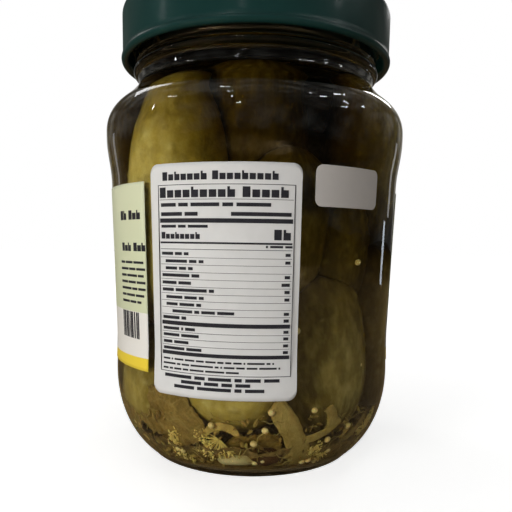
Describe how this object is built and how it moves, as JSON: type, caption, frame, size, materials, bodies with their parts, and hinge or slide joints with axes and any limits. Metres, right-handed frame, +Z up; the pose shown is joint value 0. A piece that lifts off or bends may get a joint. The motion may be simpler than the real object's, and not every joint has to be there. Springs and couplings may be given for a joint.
{
  "type": "pickle jar",
  "caption": "Shut clear glass jar of whole pickled cucumbers with spices at the bottom, a dark green twist-off lid, a wrap label and two plain stickers.",
  "frame": {"origin": "centre of the jar's foot, on the surface it stands on", "axes": "+Z up along the jar's axis, -Y towards the side with the facts sticker, +X to that side's right"},
  "size_m": [0.0956, 0.0956, 0.1397],
  "materials": {
    "clear_glass": "smooth clear glass",
    "green_enamel": "satin dark green enamel",
    "label_paper": "semi-gloss printed paper, pale green, white and yellow fields",
    "sticker_paper": "satin white sticker with plain dark bars",
    "plain_sticker": "satin warm grey sticker",
    "cucumber_skin": "wet waxy olive skin",
    "seasoning": "wet leaves, stalks and seeds"
  },
  "bodies": {
    "root": {"glass_jar": "clear_glass", "twist_lid": "green_enamel", "wrap_label": "label_paper", "facts_sticker": "sticker_paper", "small_sticker": "plain_sticker", "cucumber_heap": "cucumber_skin", "seasoning_heap": "seasoning"}
  },
  "joints": []
}
